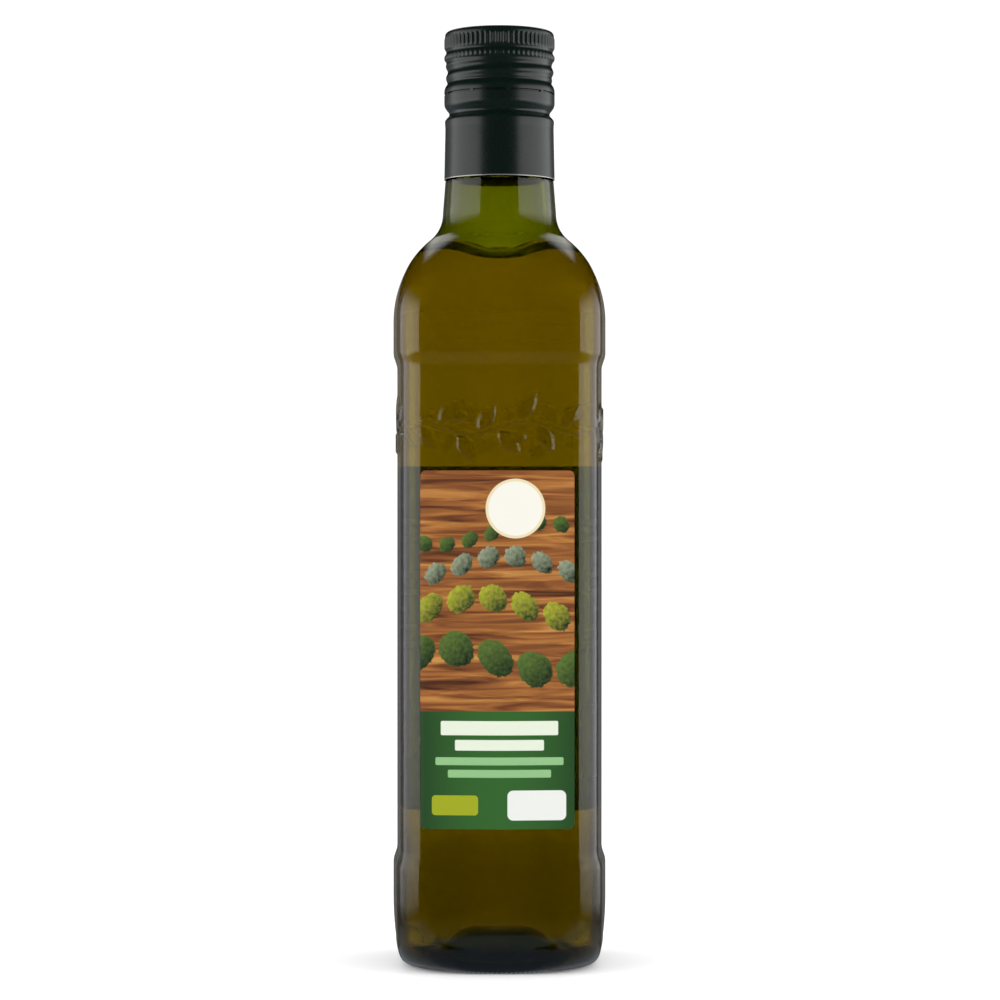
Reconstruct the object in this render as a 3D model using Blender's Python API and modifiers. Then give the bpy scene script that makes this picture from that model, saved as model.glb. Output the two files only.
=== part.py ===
"""A filled half-litre olive oil bottle, shut with a long-skirted metal closure.

The glass has a square body with round corners and slightly bowed sides. It runs
out to a round foot below and to a round neck above. A shallow panel is let into
the body for the two labels, and a leafy spray stands out of the glass above it.
The front label faces -Y. The origin is the middle of the foot, with +Z up.
"""

import math

import bmesh
import bpy
from mathutils import Matrix, Vector

MM = 0.001

# Body section: half the width across the flats, corner radius, and how far a side bows out
BODY_HALF = 30.7 * MM
PANEL_HALF = 29.6 * MM
PANEL_CORNER = 8.1 * MM
SIDE_BOW = 1.6 * MM

# Heights of the glass, from the surface that it stands on
HEEL_TOP = 8.0 * MM
SQUARE_FROM = 19.4 * MM
LOWER_STEP = (29.0 * MM, 33.8 * MM)
UPPER_STEP = (171.1 * MM, 175.8 * MM)
SHOULDER_FROM = 185.0 * MM
MOUTH_TOP = 267.4 * MM

# Between these heights the section turns from square to round, the inside a little lower
ROUNDING = (188.0 * MM, 213.0 * MM)
INSIDE_LOWER = 1.5 * MM

# The foot, and the base that is pushed up in its middle
FOOT_OUTER = 26.9 * MM
FOOT_INNER = 24.2 * MM
HEEL_HALF = 30.0 * MM
HEEL_POWER = 1.5
ABOVE_HEEL = (30.5 * MM, 14.0 * MM)
DOME_FROM = 0.35
DOME_SHARES = (0.35, 0.68)
PUNT_HEIGHT = 8.0 * MM
FLOOR_EDGE = 3.6 * MM
FLOOR_RISE = 7.8 * MM
FLOOR_RADIUS = 21.0 * MM
INNER_HEEL_TOP = 9.5 * MM

# Shoulder and neck, each radius above the neck with the height that it reaches
SHOULDER_RADIUS = 31.2 * MM
FILLET_RADIUS = 10.4 * MM
NECK_LOW = 16.4 * MM
NECK_HIGH = 15.7 * MM
LEDGE = (225.5 * MM, 226.1 * MM)
COVERED_NECK = (14.8 * MM, 240.0 * MM)
FINISH = (13.4 * MM, 243.4 * MM)
LIP_ROUND = 1.0 * MM

# The wall is thicker at the base and in the neck
WALL = 2.7 * MM
BASE_WALL = 4.1 * MM
WALL_THINS = (20.0 * MM, 60.0 * MM)
NECK_WALL = 3.3 * MM
INNER_CORNER = 3.2 * MM
NECK_BORE = (12.2 * MM, 225.5 * MM)
COVERED_BORE = (12.1 * MM, 240.0 * MM)
FINISH_BORE = (11.0 * MM, 244.5 * MM)

# Contents
OIL_LEVEL = 200.3 * MM

# Clearances: a closure off the glass, the oil off the wall and off the floor, a label off the panel
GAP = 0.3 * MM
OIL_SIDE_GAP = 0.42 * MM
OIL_FLOOR_GAP = 0.56 * MM
LABEL_GAP = 0.36 * MM

# The closure, from its lower edge up: heights, then the radius
SKIRT_BOTTOM = 226.1 * MM
SKIRT_LOW = 16.0 * MM
SKIRT_MIDDLE = (240.8 * MM, 15.7 * MM)
SKIRT_TOP = (243.2 * MM, 15.85 * MM)
TURN_IN = 244.0 * MM
LOWER_GROOVE = (244.6 * MM, 245.4 * MM, 14.55 * MM)
BAND = (246.9 * MM, 252.9 * MM, 16.0 * MM)
BAND_BEVEL = (0.3 * MM, 0.8 * MM)
TEAR_LINE = 250.7 * MM
TEAR_WIDTH = 0.45 * MM
BRIDGES = 9
BRIDGE_WIDTH = 1.3 * MM
SLIT_DEPTH = (13.55 * MM, 17.0 * MM)
SLIT_STEPS = 4
UPPER_GROOVE = (254.0 * MM, 15.0 * MM)
THREAD = (254.7 * MM, 260.0 * MM, 15.35 * MM)
THREAD_PITCH = 4.2 * MM
THREAD_DEPTH = 0.35 * MM
THREAD_ROWS = 6
BEAD = (260.8 * MM, 261.8 * MM, 15.9 * MM)
KNURL_GROOVE = (262.9 * MM, 15.3 * MM)
KNURL_BAND = (263.9 * MM, 267.3 * MM, 15.8 * MM)
KNURLS = 66
KNURL_DEPTH = 0.22 * MM
CLOSURE_TOP = 269.0 * MM
TOP_ROUND = 1.3 * MM
CLOSURE_WALL = 0.6 * MM

# The labels, in the panel
LABEL_THICK = 0.25 * MM
LABEL_HALF = 21.7 * MM
LABEL_ROUND = 1.5 * MM
ROUND_SHARES = (0.0, 0.15, 0.5, 1.0)
FRONT_LABEL = (40.9 * MM, 141.7 * MM)
BACK_LABEL = (41.7 * MM, 143.2 * MM)
FRONT_ASIDE = -0.6 * MM

# The leafy spray that stands out of each side: a waving stem with leaves by turns above and below
SPRAY_MIDDLE = 153.8 * MM
SPRAY_HALF = 22.5 * MM
STEM_WAVE = 1.8 * MM
STEM_LENGTH = 30.0 * MM
LEAF = (9.0 * MM, 4.6 * MM)
LEAF_RUN = 6.0 * MM
LEAF_FULLNESS = 0.8
LEAF_ROOT = 0.9 * MM
LEAF_TURN = 54.0
LEAF_SWAY = 0.4
LEAVES = 8
FRUIT_AT = (2, 5)
FRUIT = (2.2 * MM, 1.7 * MM)
FRUIT_FROM_STEM = 4.4 * MM
RELIEF = 0.5 * MM
RELIEF_ROOT = 0.9 * MM
LEAF_SIDES = 5
FRUIT_SIDES = 6

# How finely the solids are cut up
FACE_STEPS = 3
CORNER_STEPS = 3
CLOSURE_SIDES = 48


def clear_scene():
    for thing in list(bpy.data.objects):
        bpy.data.objects.remove(thing, do_unlink=True)


def make_collection(name):
    collection = bpy.data.collections.new(name)
    bpy.context.scene.collection.children.link(collection)
    return collection


def make_material(name, colour, roughness, metallic=0.0, transmission=0.0):
    material = bpy.data.materials.new(name)
    material.use_nodes = True
    shader = material.node_tree.nodes["Principled BSDF"]
    shader.inputs["Base Color"].default_value = (*colour, 1.0)
    shader.inputs["Roughness"].default_value = roughness
    shader.inputs["Metallic"].default_value = metallic
    shader.inputs["Transmission Weight"].default_value = transmission
    return material


def add_object(name, mesh, collection, material=None):
    thing = bpy.data.objects.new(name, mesh)
    collection.objects.link(thing)
    if material is not None:
        mesh.materials.append(material)
    return thing


def smooth_step(value, low, high):
    share = min(max((value - low) / (high - low), 0.0), 1.0)
    return share * share * (3.0 - 2.0 * share)


def arc(centre, radii, start, end, steps):
    """Points of a quarter turn or less, as (radius, height), its angles in degrees."""
    points = []
    for step in range(steps + 1):
        angle = math.radians(start + (end - start) * step / steps)
        points.append((centre[0] + radii[0] * math.cos(angle), centre[1] + radii[1] * math.sin(angle)))
    return points


def section_radius(angle, half, corner, bow):
    """How far the wall is from the axis, in a square with round corners and bowed sides."""
    off = abs((angle + math.pi / 4) % (math.pi / 2) - math.pi / 4)
    flat = half - bow
    centre = flat - corner
    if flat * math.tan(off) <= centre:
        reach = flat / math.cos(off)
    else:
        root = corner ** 2 - centre ** 2 * (1.0 - math.sin(2.0 * off))
        reach = centre * (math.cos(off) + math.sin(off)) + math.sqrt(max(root, 0.0))
    return reach + bow * math.cos(2.0 * off) ** 2


def ring_angles():
    """Angles round the axis: wide steps along the sides and narrow ones round the corners."""
    flat = PANEL_HALF - SIDE_BOW
    turn = math.atan((flat - PANEL_CORNER) / flat)
    half = [turn * step / FACE_STEPS for step in range(FACE_STEPS)]
    half += [turn + (math.pi / 4 - turn) * step / CORNER_STEPS for step in range(CORNER_STEPS + 1)]
    quarter = [-angle for angle in reversed(half[1:])] + half[:-1]
    return [side * math.pi / 2 + angle for side in range(4) for angle in quarter]


def ring(half, height, squareness, corner):
    """One level of the glass: squareness runs from 0, a circle, to 1, the body's full section."""
    rounding = half + (corner - half) * squareness
    bow = SIDE_BOW * squareness
    points = []
    for angle in ring_angles():
        reach = section_radius(angle, half, rounding, bow)
        points.append(Vector((reach * math.cos(angle), reach * math.sin(angle), height)))
    return points


def loft(name, rings, start, end):
    """A closed solid through rings of as many points, shut at each end by a fan round a point."""
    mesh = bmesh.new()
    levels = [[mesh.verts.new(point) for point in points] for points in rings]
    count = len(levels[0])
    for below, above in zip(levels, levels[1:]):
        for i in range(count):
            j = (i + 1) % count
            mesh.faces.new((below[i], below[j], above[j], above[i]))
    for level, height in ((levels[0], start), (levels[-1], end)):
        middle = mesh.verts.new((0.0, 0.0, height))
        for i in range(count):
            mesh.faces.new((level[i], level[(i + 1) % count], middle))
    bmesh.ops.recalc_face_normals(mesh, faces=mesh.faces)
    data = bpy.data.meshes.new(name)
    mesh.to_mesh(data)
    mesh.free()
    return data


def shade(data, angle=35.0):
    data.shade_smooth()
    data.set_sharp_from_angle(angle=math.radians(angle))


def outer_squareness(height):
    if height <= SQUARE_FROM:
        rest = 1.0 - max(height, 0.0) / SQUARE_FROM
        return math.sqrt(1.0 - rest * rest)
    return 1.0 - smooth_step(height, *ROUNDING)


def inner_squareness(height):
    if height <= INNER_HEEL_TOP:
        return smooth_step(height, FLOOR_EDGE, INNER_HEEL_TOP)
    return outer_squareness(height + INSIDE_LOWER)


def shoulder(half, radius, fillet, neck, steps):
    """Half widths and heights up a round shoulder that turns into a neck by a hollow fillet."""
    centre = (half - radius, SHOULDER_FROM)
    reach = radius + fillet
    across = neck + fillet - centre[0]
    rise = math.sqrt(reach ** 2 - across ** 2)
    turn = math.degrees(math.atan2(rise, across))
    hollow = (neck + fillet, SHOULDER_FROM + rise)
    return (arc(centre, (radius, radius), 0.0, turn, steps[0])
            + arc(hollow, (fillet, fillet), 180.0 + turn, 180.0, steps[1])[1:])


def wall(height):
    """How thick the body's glass is."""
    return BASE_WALL + (WALL - BASE_WALL) * smooth_step(height, *WALL_THINS)


def step_points(low, high, low_half, high_half, steps):
    """A soft step between two widths of the body."""
    points = []
    for step in range(steps + 1):
        share = step / steps
        width = low_half + (high_half - low_half) * smooth_step(share, 0.0, 1.0)
        points.append((width, low + (high - low) * share))
    return points


def heel(steps):
    """Half widths and heights up the heel, which starts nearly upright at the foot."""
    points = []
    for step in range(steps + 1):
        turn = 0.5 * math.pi * step / steps
        half = FOOT_OUTER + (HEEL_HALF - FOOT_OUTER) * math.sin(turn) ** HEEL_POWER
        points.append((half, HEEL_TOP * (1.0 - math.cos(turn))))
    return points


def dome(radius, edge, rise):
    """Radii and heights of a base that is pushed up in its middle, from there out to its edge."""
    return [(radius * share, edge + rise * (1.0 - smooth_step(share, DOME_FROM, 1.0))) for share in DOME_SHARES]


def outer_profile():
    """The glass from the inner edge of the foot, up its outside, to the inner edge of the mouth."""
    points = [(FOOT_INNER, 0.0)] + heel(4)
    points += [ABOVE_HEEL, (BODY_HALF, SQUARE_FROM)]
    points += step_points(*LOWER_STEP, BODY_HALF, PANEL_HALF, 3)
    points += step_points(*UPPER_STEP, PANEL_HALF, BODY_HALF, 3)
    points += shoulder(BODY_HALF, SHOULDER_RADIUS, FILLET_RADIUS, NECK_LOW, (7, 4))
    points += [(NECK_HIGH, LEDGE[0]), (COVERED_NECK[0], LEDGE[1]), COVERED_NECK, FINISH]
    lip = (FINISH[0] - LIP_ROUND, MOUTH_TOP - LIP_ROUND)
    points += arc(lip, (LIP_ROUND, LIP_ROUND), 0.0, 90.0, 2)
    return points


def inner_profile():
    """The hollow from the mouth down to the edge of the floor, as half widths and heights."""
    body = BODY_HALF - WALL
    up = shoulder(body, SHOULDER_RADIUS - WALL, FILLET_RADIUS + WALL, NECK_LOW - NECK_WALL, (5, 3))
    points = [(FINISH_BORE[0], MOUTH_TOP), FINISH_BORE, COVERED_BORE, NECK_BORE] + list(reversed(up))
    points += [(body, UPPER_STEP[1]), (PANEL_HALF - WALL, UPPER_STEP[0]), (PANEL_HALF - WALL, WALL_THINS[1])]
    points += [(PANEL_HALF - wall(LOWER_STEP[1]), LOWER_STEP[1]), (BODY_HALF - wall(LOWER_STEP[0]), LOWER_STEP[0])]
    corner = (BODY_HALF - BASE_WALL - FLOOR_RADIUS, INNER_HEEL_TOP - FLOOR_EDGE)
    return points + arc((FLOOR_RADIUS, INNER_HEEL_TOP), corner, 0.0, -90.0, 2)


def inner_corner(half):
    return INNER_CORNER + max(0.0, half - (PANEL_HALF - WALL))


def panel_place(across, lift):
    """A point over the front side, so far across from its middle and so far off the glass."""
    angle = math.atan(across / PANEL_HALF)
    for _ in range(4):
        reach = section_radius(angle, PANEL_HALF, PANEL_CORNER, SIDE_BOW)
        angle = math.asin(across / reach)
    return ((reach + lift) * math.sin(angle), -(reach + lift) * math.cos(angle))


def leaf_outline(length, width):
    """A pointed leaf along +X, from its stalk at the origin, as points in a plane."""
    upper = []
    for step in range(1, LEAF_SIDES):
        share = step / LEAF_SIDES
        upper.append((length * share, 0.5 * width * math.sin(math.pi * share ** LEAF_FULLNESS)))
    lower = [(x, -y) for x, y in reversed(upper)]
    return [(0.0, 0.0)] + upper + [(length, 0.0)] + lower


def stem_height(across):
    return STEM_WAVE * math.sin(2.0 * math.pi * across / STEM_LENGTH)


def spray_shapes():
    """Outlines of one side's relief: (outline, across, up, turn in degrees), about the side's middle."""
    leaf = leaf_outline(*LEAF)
    turns = [2.0 * math.pi * step / FRUIT_SIDES for step in range(FRUIT_SIDES)]
    fruit = [(FRUIT[0] * math.cos(turn), FRUIT[1] * math.sin(turn)) for turn in turns]
    shapes = []
    for number in range(LEAVES):
        across = (2.0 * SPRAY_HALF - LEAF_RUN) * number / (LEAVES - 1) - SPRAY_HALF
        side = 1 if number % 2 else -1
        slope = math.degrees(math.atan2(stem_height(across + MM) - stem_height(across), MM))
        root = stem_height(across) + side * LEAF_ROOT
        shapes.append((leaf, across, root, LEAF_SWAY * slope + side * LEAF_TURN))
        if number in FRUIT_AT:
            shapes.append((fruit, across, stem_height(across) - side * FRUIT_FROM_STEM, 0.0))
    return shapes


def relief_piece(name, outline, across, up, turn, side, collection):
    """One raised shape, bent to a side's face so that it stands RELIEF proud of it."""
    mesh = bmesh.new()
    spin = Matrix.Rotation(math.radians(turn), 3, "Z")
    levels = []
    for lift in (-RELIEF_ROOT, RELIEF):
        level = []
        for x, y in outline:
            flat = spin @ Vector((x, y, 0.0))
            place = panel_place(across + flat.x, lift)
            level.append(mesh.verts.new((*place, SPRAY_MIDDLE + up + flat.y)))
        levels.append(level)
    count = len(outline)
    for i in range(count):
        j = (i + 1) % count
        mesh.faces.new((levels[0][i], levels[0][j], levels[1][j], levels[1][i]))
    mesh.faces.new(levels[0])
    mesh.faces.new(levels[1])
    bmesh.ops.rotate(mesh, matrix=Matrix.Rotation(math.radians(90.0 * side), 3, "Z"), verts=mesh.verts)
    bmesh.ops.recalc_face_normals(mesh, faces=mesh.faces)
    bmesh.ops.triangulate(mesh, faces=mesh.faces)
    data = bpy.data.meshes.new(name)
    mesh.to_mesh(data)
    mesh.free()
    piece = add_object(name, data, collection)
    piece.hide_render = True
    piece.display_type = "WIRE"
    return piece


def fuse(thing, operation, collection):
    """Joins or cuts with all that a collection holds, keeps the result as the mesh, and empties it."""
    modifier = thing.modifiers.new(operation.lower(), "BOOLEAN")
    modifier.operation = operation
    modifier.operand_type = "COLLECTION"
    modifier.collection = collection
    modifier.solver = "EXACT"
    scene_graph = bpy.context.evaluated_depsgraph_get()
    data = bpy.data.meshes.new_from_object(thing.evaluated_get(scene_graph))
    thing.modifiers.clear()
    old = thing.data
    thing.data = data
    bpy.data.meshes.remove(old)
    for piece in list(collection.objects):
        bpy.data.objects.remove(piece, do_unlink=True)
    bpy.data.collections.remove(collection)


def make_bottle(collection, material):
    rings = [ring(half, height, outer_squareness(height), PANEL_CORNER + half - PANEL_HALF)
             for half, height in outer_profile()]
    rings += [ring(half, height, inner_squareness(height), inner_corner(half))
              for half, height in inner_profile()]
    punt = [ring(radius, height, 0.0, 0.0) for radius, height in dome(FOOT_INNER, 0.0, PUNT_HEIGHT)]
    floor = [ring(radius, height, 0.0, 0.0) for radius, height in dome(FLOOR_RADIUS, FLOOR_EDGE, FLOOR_RISE)]
    data = loft("bottle", punt + rings + floor[::-1], PUNT_HEIGHT, FLOOR_EDGE + FLOOR_RISE)
    bottle = add_object("bottle", data, collection, material)
    reliefs = make_collection("reliefs")
    for side in range(4):
        for number, shape in enumerate(spray_shapes()):
            relief_piece(f"relief_{side}_{number}", *shape, side, reliefs)
    fuse(bottle, "UNION", reliefs)
    shade(bottle.data)
    return bottle


def make_oil(collection, material):
    """The oil: the hollow's shape up to the level, a gap's width clear of the glass."""
    rings = []
    hollow = inner_profile()
    above = [point for point in hollow if point[1] > OIL_LEVEL]
    below = [point for point in hollow if point[1] <= OIL_LEVEL]
    (wide, low), (narrow, high) = below[0], above[-1]
    share = (OIL_LEVEL - low) / (high - low)
    surface = (wide + (narrow - wide) * share, OIL_LEVEL)
    for half, height in [surface] + below:
        lift = OIL_FLOOR_GAP if height <= INNER_HEEL_TOP else 0.0
        rings.append(ring(half - OIL_SIDE_GAP, height + lift, inner_squareness(height), inner_corner(half) - GAP))
    edge = FLOOR_EDGE + OIL_FLOOR_GAP
    floor = [ring(radius, height, 0.0, 0.0) for radius, height in dome(FLOOR_RADIUS, edge, FLOOR_RISE)]
    data = loft("oil", rings + floor[::-1], OIL_LEVEL, edge + FLOOR_RISE)
    shade(data)
    return add_object("oil", data, collection, material)


def closure_profile():
    """The closure's outline from the middle of its top, down the outside, and back up the inside."""
    inside = FINISH[0] + GAP
    ceiling = MOUTH_TOP + GAP
    top_corner = (KNURL_BAND[2] - TOP_ROUND, CLOSURE_TOP - TOP_ROUND)
    points = [(0.0, CLOSURE_TOP)] + list(reversed(arc(top_corner, (TOP_ROUND, TOP_ROUND), 0.0, 90.0, 3)))
    points += [(KNURL_BAND[2], KNURL_BAND[0]), (KNURL_GROOVE[1], KNURL_GROOVE[0])]
    points += [(BEAD[2], BEAD[1]), (BEAD[2], BEAD[0])]
    for row in range(THREAD_ROWS + 1):
        points.append((THREAD[2], THREAD[1] + (THREAD[0] - THREAD[1]) * row / THREAD_ROWS))
    points += [(UPPER_GROOVE[1], UPPER_GROOVE[0])]
    points += [(BAND[2] - BAND_BEVEL[0], BAND[1]), (BAND[2], BAND[1] - BAND_BEVEL[1])]
    points += [(BAND[2], BAND[0] + BAND_BEVEL[1]), (BAND[2] - BAND_BEVEL[0], BAND[0])]
    points += [(LOWER_GROOVE[2], LOWER_GROOVE[1]), (LOWER_GROOVE[2], LOWER_GROOVE[0])]
    points += [(SKIRT_TOP[1], SKIRT_TOP[0]), (SKIRT_MIDDLE[1], SKIRT_MIDDLE[0]), (SKIRT_LOW, SKIRT_BOTTOM)]
    points += [(SKIRT_LOW - CLOSURE_WALL, SKIRT_BOTTOM), (SKIRT_MIDDLE[1] - CLOSURE_WALL, SKIRT_MIDDLE[0])]
    return points + [(inside, TURN_IN), (inside, ceiling), (0.0, ceiling)]


def turned(name, profile, sides):
    """A profile of (radius, height) turned round Z."""
    mesh = bmesh.new()
    verts = [mesh.verts.new((radius, 0.0, height)) for radius, height in profile]
    for first, second in zip(verts, verts[1:]):
        mesh.edges.new((first, second))
    data = bpy.data.meshes.new(name)
    mesh.to_mesh(data)
    mesh.free()
    thing = bpy.data.objects.new(name, data)
    bpy.context.scene.collection.objects.link(thing)
    screw = thing.modifiers.new("turn", "SCREW")
    screw.axis = "Z"
    screw.angle = 2.0 * math.pi
    screw.steps = sides
    screw.render_steps = sides
    screw.use_merge_vertices = True
    screw.merge_threshold = 0.00001
    scene_graph = bpy.context.evaluated_depsgraph_get()
    result = bpy.data.meshes.new_from_object(thing.evaluated_get(scene_graph))
    bpy.data.objects.remove(thing, do_unlink=True)
    return result


def roll_thread(data):
    """Presses a right-handed screw thread into the thread's length of the outer wall."""
    low, high, radius = THREAD
    for vert in data.vertices:
        x, y, z = vert.co
        reach = math.hypot(x, y)
        if low < z < high and reach > radius - 0.1 * MM:
            phase = 2.0 * math.pi * z / THREAD_PITCH - math.atan2(y, x)
            fade = min(z - low, high - z) / (0.5 * (high - low))
            scale = 1.0 + THREAD_DEPTH * min(1.0, 2.0 * fade) * math.sin(phase) / reach
            vert.co = (x * scale, y * scale, z)


def make_knurls(collection):
    """The gripping ridges round the top: one fluted ring, fused on to the closure."""
    low, high, radius = KNURL_BAND
    inside = 0.5 * (radius + FINISH[0])
    count = 2 * KNURLS
    mesh = bmesh.new()
    loops = []
    for height, outer in ((low, True), (high, True), (high, False), (low, False)):
        loop = []
        for step in range(count):
            angle = math.pi * step / KNURLS
            reach = radius + (KNURL_DEPTH if step % 2 else -KNURL_DEPTH) if outer else inside
            loop.append(mesh.verts.new((reach * math.cos(angle), reach * math.sin(angle), height)))
        loops.append(loop)
    for first, second in zip(loops, loops[1:] + loops[:1]):
        for i in range(count):
            j = (i + 1) % count
            mesh.faces.new((first[i], first[j], second[j], second[i]))
    bmesh.ops.recalc_face_normals(mesh, faces=mesh.faces)
    data = bpy.data.meshes.new("knurls")
    mesh.to_mesh(data)
    mesh.free()
    return add_object("knurls", data, collection)


def make_slits(collection):
    """Cutters for the tear line: thin curved bars with the bridges left out between them."""
    gap = BRIDGE_WIDTH / BAND[2]
    span = 2.0 * math.pi / BRIDGES
    for number in range(BRIDGES):
        start = number * span + 0.5 * gap
        mesh = bmesh.new()
        rows = []
        for step in range(SLIT_STEPS + 1):
            angle = start + (span - gap) * step / SLIT_STEPS
            corners = []
            for reach in SLIT_DEPTH:
                for side in (-0.5, 0.5):
                    height = TEAR_LINE + side * TEAR_WIDTH
                    place = (reach * math.cos(angle), reach * math.sin(angle), height)
                    corners.append(mesh.verts.new(place))
            rows.append([corners[0], corners[1], corners[3], corners[2]])
        for first, second in zip(rows, rows[1:]):
            for i in range(4):
                j = (i + 1) % 4
                mesh.faces.new((first[i], first[j], second[j], second[i]))
        mesh.faces.new(rows[0])
        mesh.faces.new(rows[-1])
        bmesh.ops.recalc_face_normals(mesh, faces=mesh.faces)
        data = bpy.data.meshes.new(f"slit_{number}")
        mesh.to_mesh(data)
        mesh.free()
        cutter = add_object(f"slit_{number}", data, collection)
        cutter.hide_render = True
        cutter.display_type = "WIRE"


def make_closure(collection, material):
    data = turned("closure", closure_profile(), CLOSURE_SIDES)
    roll_thread(data)
    closure = add_object("closure", data, collection, material)
    knurls = make_collection("knurl_ring")
    make_knurls(knurls)
    fuse(closure, "UNION", knurls)
    slits = make_collection("slits")
    make_slits(slits)
    fuse(closure, "DIFFERENCE", slits)
    shade(closure.data)
    return closure


def label_columns():
    """Places across a label, from edge to edge: close together where its corners are rounded."""
    rounding = [LABEL_HALF - LABEL_ROUND * share for share in ROUND_SHARES]
    inner = []
    for angle in ring_angles():
        across = section_radius(angle, PANEL_HALF, PANEL_CORNER, SIDE_BOW) * math.sin(angle)
        if math.cos(angle) > 0.0 and abs(across) < rounding[-1]:
            inner.append(across)
    return [-place for place in rounding] + sorted(inner) + list(reversed(rounding))


def make_label(name, span, aside, facing, collection, material):
    """A paper skin that follows the panel, with round corners, a gap's width off the glass."""
    mesh = bmesh.new()
    pairs = []
    for across in label_columns():
        into = max(0.0, (abs(across) - LABEL_HALF + LABEL_ROUND) / LABEL_ROUND)
        drop = LABEL_ROUND * (1.0 - math.sqrt(max(0.0, 1.0 - into * into)))
        place = panel_place(across + aside, LABEL_GAP)
        pairs.append([mesh.verts.new((*place, span[0] + drop)), mesh.verts.new((*place, span[1] - drop))])
    for first, second in zip(pairs, pairs[1:]):
        mesh.faces.new((first[0], second[0], second[1], first[1]))
    bmesh.ops.rotate(mesh, matrix=Matrix.Rotation(facing, 3, "Z"), verts=mesh.verts)
    data = bpy.data.meshes.new(name)
    mesh.to_mesh(data)
    mesh.free()
    shade(data)
    label = add_object(name, data, collection, material)
    skin = label.modifiers.new("paper", "SOLIDIFY")
    skin.thickness = LABEL_THICK
    skin.offset = 1.0
    return label


def main():
    clear_scene()
    parts = make_collection("olive_oil_bottle")
    glass = make_material("green_glass", (0.09, 0.11, 0.02), 0.05, transmission=0.6)
    oil = make_material("olive_oil", (0.35, 0.28, 0.02), 0.1, transmission=0.4)
    metal = make_material("dark_lacquered_metal", (0.02, 0.045, 0.035), 0.35, metallic=0.3)
    front = make_material("front_label_paper", (0.3, 0.25, 0.12), 0.45)
    back = make_material("back_label_paper", (0.09, 0.2, 0.08), 0.45)
    make_bottle(parts, glass)
    make_oil(parts, oil)
    make_closure(parts, metal)
    make_label("front_label", FRONT_LABEL, FRONT_ASIDE, 0.0, parts, front)
    make_label("back_label", BACK_LABEL, 0.0, math.pi, parts, back)


main()
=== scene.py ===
# %% [markdown]
# # A filled bottle of olive oil
# The bottle is dark green glass with a square body, a round foot and a round neck. It is full of oil up
# to the shoulder, carries two paper labels in a shallow panel, and is shut with a long-skirted metal
# closure. Almost everything that the eye sees in it is light that has come through glass and oil, so
# most of the work is in giving both their true shape and thickness.

from math import asin, atan, atan2, ceil, cos, degrees, dist, exp, hypot, pi, radians, sin, sqrt, tan

import bpy
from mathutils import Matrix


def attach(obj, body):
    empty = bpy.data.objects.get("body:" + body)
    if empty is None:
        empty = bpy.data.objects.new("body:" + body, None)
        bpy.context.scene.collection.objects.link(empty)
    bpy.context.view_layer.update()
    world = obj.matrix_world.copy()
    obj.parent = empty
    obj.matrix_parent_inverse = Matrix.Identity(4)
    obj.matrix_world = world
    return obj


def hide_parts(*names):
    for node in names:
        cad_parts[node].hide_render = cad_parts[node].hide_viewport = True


MM = 0.001

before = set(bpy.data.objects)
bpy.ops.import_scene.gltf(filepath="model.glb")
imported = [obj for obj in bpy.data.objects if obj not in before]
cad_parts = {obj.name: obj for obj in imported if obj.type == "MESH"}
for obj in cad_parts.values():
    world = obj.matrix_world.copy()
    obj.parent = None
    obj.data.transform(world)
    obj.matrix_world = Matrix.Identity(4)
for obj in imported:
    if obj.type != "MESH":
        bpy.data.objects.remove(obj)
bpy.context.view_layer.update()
print("the frame has", sorted(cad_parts))


# %% Two helpers
def mm(*values):
    """Millimetres as the metres that Blender works in."""
    return tuple(value * MM for value in values)


def add_object(name, data):
    """Puts a mesh, a light or a camera into the scene."""
    thing = bpy.data.objects.new(name, data)
    bpy.context.scene.collection.objects.link(thing)
    return thing


# %% [markdown]
# ## Camera
# A product shot is taken from far away with a long lens, so that upright edges stay upright.
# The camera could be tied to a target. This one is level, at the middle of the bottle's height, and looks
# along +Y at the front label, so one quarter turn is all that it needs.

# %% Camera
CAMERA_AWAY, CAMERA_HEIGHT, CAMERA_ASIDE = mm(928.0, 133.4, 0.15)
LENS = 115.2
FILM_WIDTH = 36.0
NEAREST_SEEN = 0.01

camera_data = bpy.data.cameras.new("camera")
camera_data.lens = LENS
camera_data.sensor_width = FILM_WIDTH
camera_data.clip_start = NEAREST_SEEN
camera = add_object("camera", camera_data)
camera.location = (CAMERA_ASIDE, -CAMERA_AWAY, CAMERA_HEIGHT)
camera.rotation_euler = (pi / 2, 0.0, 0.0)
bpy.context.scene.camera = camera
print("camera at", [round(value, 4) for value in camera.location])


# %% [markdown]
# ## Shader maths
# A material's pattern is a formula over the surface. Blender draws each step of a formula as a node,
# which is slow to read. A small class can stand for a node's output and add the nodes by itself, so that
# the pattern is written as it would be on paper.

# %% A class for formulas made of nodes
def both_ways(operation):
    """An operator's method, and its reflected form for a number on the left."""
    return (lambda self, other: self.math(operation, self, other),
            lambda self, other: self.math(operation, other, self))


class Wire:
    """The output of a node. Arithmetic on it adds Math nodes."""

    __add__, __radd__ = both_ways("ADD")
    __sub__, __rsub__ = both_ways("SUBTRACT")
    __mul__, __rmul__ = both_ways("MULTIPLY")
    __truediv__, __rtruediv__ = both_ways("DIVIDE")
    __pow__, __rpow__ = both_ways("POWER")

    def __init__(self, paint, socket):
        self.paint = paint
        self.socket = socket

    def output(self, name):
        return Wire(self.paint, self.socket.node.outputs[name])

    def math(self, operation, *values, clamp=False):
        settings = {"operation": operation, "use_clamp": clamp}
        return self.paint.node("Math", settings, dict(enumerate(values)))

    def __abs__(self):
        return self.math("ABSOLUTE", self)

    def at_least(self, other):
        return self.math("MAXIMUM", self, other)

    def sine(self):
        return self.math("SINE", self)

    def wrapped(self, high, low):
        return self.math("WRAP", self, high, low)

    def clamped(self):
        return self.math("ADD", self, 0.0, clamp=True)


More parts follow.
